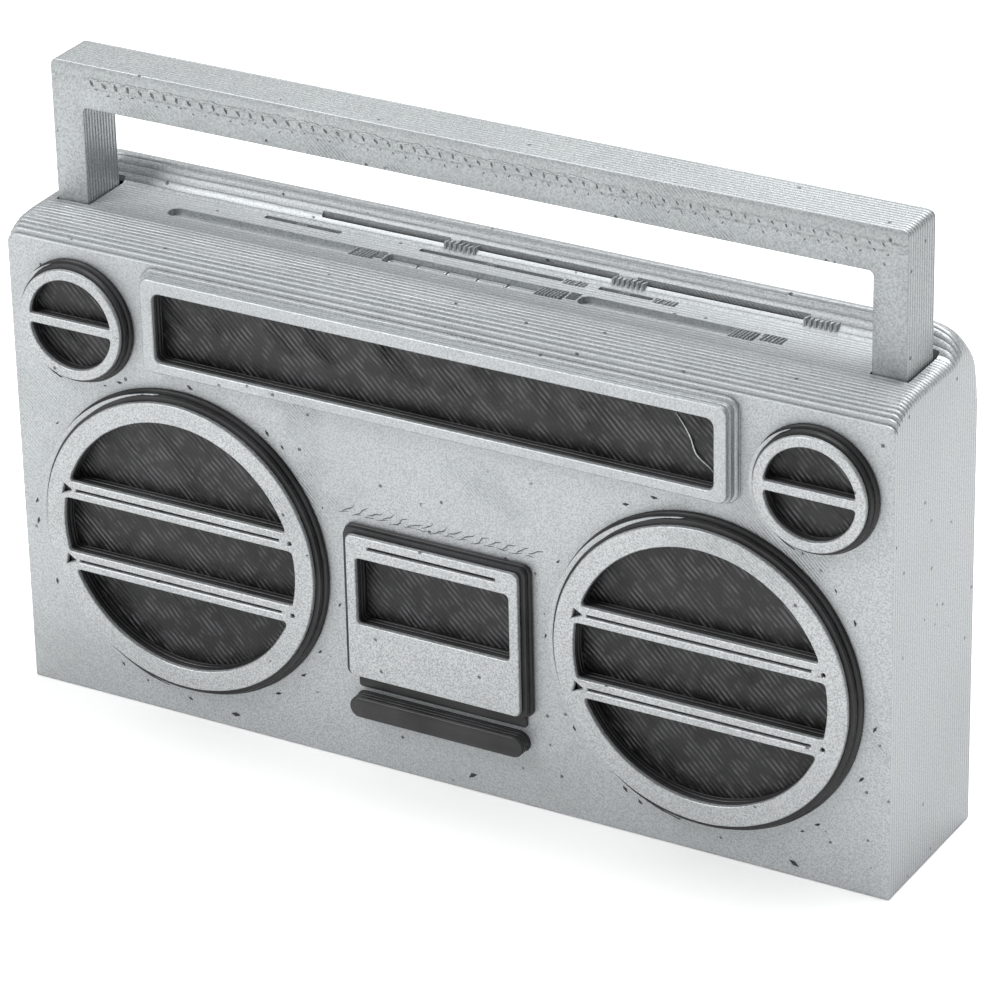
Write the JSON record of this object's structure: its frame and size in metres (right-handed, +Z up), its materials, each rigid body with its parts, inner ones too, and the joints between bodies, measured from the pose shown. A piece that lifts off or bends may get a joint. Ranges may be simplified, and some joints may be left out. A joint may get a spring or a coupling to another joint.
{
  "type": "radio cassette player",
  "caption": "Wide portable stereo cassette player with ringed loudspeakers, tuner frame, bottom-hinged tape door, sunken top keys and a carrying handle that slides down.",
  "frame": {"origin": "centre of the footprint, on the surface that the player stands on", "axes": "+Z up, +X to the right of a person facing the front, -Y out of the front"},
  "size_m": [0.6, 0.1194, 0.4094],
  "materials": {
    "silver": "metallic silver plastic with fine ridges",
    "keys": "satin silver plastic",
    "black": "semi-matte black plastic",
    "dark_panel": "dark panel with slanting streaks",
    "steel": "plain zinc-plated steel",
    "brass": "turned brass",
    "rubber": "black rubber",
    "cone": "pressed black paper cone",
    "iron": "dark grey laminated iron and ferrite",
    "board": "green circuit board",
    "cells": "printed metal cell cases"
  },
  "bodies": {
    "root": {"front_cabinet": "silver", "rear_cover": "silver", "rear_screw_1": "steel", "rear_screw_2": "steel", "rear_screw_3": "steel", "rear_screw_4": "steel", "tuner_frame": "silver", "tuner_window": "dark_panel", "dial_plate": "black", "door_surround": "black", "deck_chassis": "steel", "deck_motor": "steel", "drive_belt": "rubber", "main_board": "board", "transformer": "iron", "mains_inlet": "black", "battery_pack": "cells", "woofer_drum_left": "black", "woofer_ring_left": "silver", "woofer_grille_left": "dark_panel", "woofer_basket_left": "steel", "woofer_cone_left": "cone", "tweeter_drum_left": "black", "tweeter_ring_left": "silver", "tweeter_grille_left": "dark_panel", "tweeter_driver_left": "iron", "woofer_drum_right": "black", "woofer_ring_right": "silver", "woofer_grille_right": "dark_panel", "woofer_basket_right": "steel", "woofer_cone_right": "cone", "tweeter_drum_right": "black", "tweeter_ring_right": "silver", "tweeter_grille_right": "dark_panel", "tweeter_driver_right": "iron"},
    "handle": {"handle": "silver"},
    "cassette_door": {"door_frame": "silver", "door_window": "dark_panel", "cassette_holder": "black"},
    "eject_bar": {"eject_bar": "black"},
    "battery_door": {"battery_door": "silver"},
    "record_key": {"record_key": "keys"},
    "play_key": {"play_key": "keys"},
    "rewind_key": {"rewind_key": "keys"},
    "forward_key": {"forward_key": "keys"},
    "stop_key": {"stop_key": "keys"},
    "pause_key": {"pause_key": "keys"},
    "volume_slider": {"volume_slider": "black"},
    "tuning_slider": {"tuning_slider": "black"},
    "tone_slider": {"tone_slider": "black"},
    "balance_slider": {"balance_slider": "black"},
    "band_slider": {"band_slider": "black"},
    "dial_pointer": {"dial_pointer": "keys"},
    "supply_spindle": {"supply_spindle": "black"},
    "take_up_spindle": {"take_up_spindle": "black"},
    "flywheel": {"capstan_flywheel": "brass"},
    "motor_pulley": {"motor_pulley": "brass"},
    "pinch_arm": {"pinch_arm": "steel", "pinch_roller": "rubber"},
    "playback_head": {"playback_head": "steel"}
  },
  "joints": [
    {"name": "handle_slide", "type": "slide", "parent": "root", "child": "handle", "axis": [0, 0, -1], "range_m": [0, 0.062]},
    {"name": "door_hinge", "type": "hinge", "parent": "root", "child": "cassette_door", "pos_m": [0, -0.05855, 0.0659], "axis": [1, 0, 0], "range_deg": [0, 40]},
    {"name": "eject_press", "type": "slide", "parent": "root", "child": "eject_bar", "axis": [0, 1, 0], "range_m": [0, 0.004], "stiffness_N_per_m": 400},
    {"name": "battery_door_hinge", "type": "hinge", "parent": "root", "child": "battery_door", "pos_m": [0, 0.05885, 0.0145], "axis": [-1, 0, 0], "range_deg": [0, 100]},
    {"name": "record_press", "type": "slide", "parent": "root", "child": "record_key", "axis": [0, 0, -1], "range_m": [0, 0.0035], "stiffness_N_per_m": 300},
    {"name": "play_press", "type": "slide", "parent": "root", "child": "play_key", "axis": [0, 0, -1], "range_m": [0, 0.0035], "stiffness_N_per_m": 300},
    {"name": "rewind_press", "type": "slide", "parent": "root", "child": "rewind_key", "axis": [0, 0, -1], "range_m": [0, 0.0035], "stiffness_N_per_m": 300},
    {"name": "forward_press", "type": "slide", "parent": "root", "child": "forward_key", "axis": [0, 0, -1], "range_m": [0, 0.0035], "stiffness_N_per_m": 300},
    {"name": "stop_press", "type": "slide", "parent": "root", "child": "stop_key", "axis": [0, 0, -1], "range_m": [0, 0.0035], "stiffness_N_per_m": 300},
    {"name": "pause_press", "type": "slide", "parent": "root", "child": "pause_key", "axis": [0, 0, -1], "range_m": [0, 0.0035], "stiffness_N_per_m": 300},
    {"name": "volume_slide", "type": "slide", "parent": "root", "child": "volume_slider", "axis": [1, 0, 0], "range_m": [-0.124, 0]},
    {"name": "tuning_slide", "type": "slide", "parent": "root", "child": "tuning_slider", "axis": [1, 0, 0], "range_m": [-0.094, 0]},
    {"name": "pointer_slide", "type": "slide", "parent": "root", "child": "dial_pointer", "axis": [1, 0, 0], "range_m": [-0.329, 0]},
    {"name": "tone_slide", "type": "slide", "parent": "root", "child": "tone_slider", "axis": [1, 0, 0], "range_m": [-0.022, 0.022]},
    {"name": "balance_slide", "type": "slide", "parent": "root", "child": "balance_slider", "axis": [1, 0, 0], "range_m": [-0.044, 0.044]},
    {"name": "band_slide", "type": "slide", "parent": "root", "child": "band_slider", "axis": [1, 0, 0], "range_m": [-0.013, 0.013]},
    {"name": "supply_spin", "type": "hinge", "parent": "root", "child": "supply_spindle", "pos_m": [-0.02125, -0.02275, 0.108], "axis": [0, 1, 0], "continuous": true},
    {"name": "take_up_spin", "type": "hinge", "parent": "root", "child": "take_up_spindle", "pos_m": [0.02125, -0.02275, 0.108], "axis": [0, 1, 0], "continuous": true},
    {"name": "flywheel_spin", "type": "hinge", "parent": "root", "child": "flywheel", "pos_m": [0.026, -0.02275, 0.1385], "axis": [0, 1, 0], "continuous": true},
    {"name": "motor_spin", "type": "hinge", "parent": "root", "child": "motor_pulley", "pos_m": [-0.038, -0.02275, 0.148], "axis": [0, 1, 0], "continuous": true},
    {"name": "pinch_swing", "type": "hinge", "parent": "root", "child": "pinch_arm", "pos_m": [0.054, -0.02275, 0.1515], "axis": [0, -1, 0], "range_deg": [0, 5.2]},
    {"name": "head_slide", "type": "slide", "parent": "root", "child": "playback_head", "axis": [0, 0, -1], "range_m": [0, 0.003]}
  ],
  "couplings": [
    {"joint": "pointer_slide", "follows": "tuning_slide", "ratio": 3.5},
    {"joint": "head_slide", "follows": "play_press", "ratio": 0.857},
    {"joint": "pinch_swing", "follows": "play_press", "rad_per_m": 25.9},
    {"joint": "motor_spin", "follows": "flywheel_spin", "ratio": 6.458},
    {"joint": "take_up_spin", "follows": "flywheel_spin", "ratio": 0.109}
  ]
}
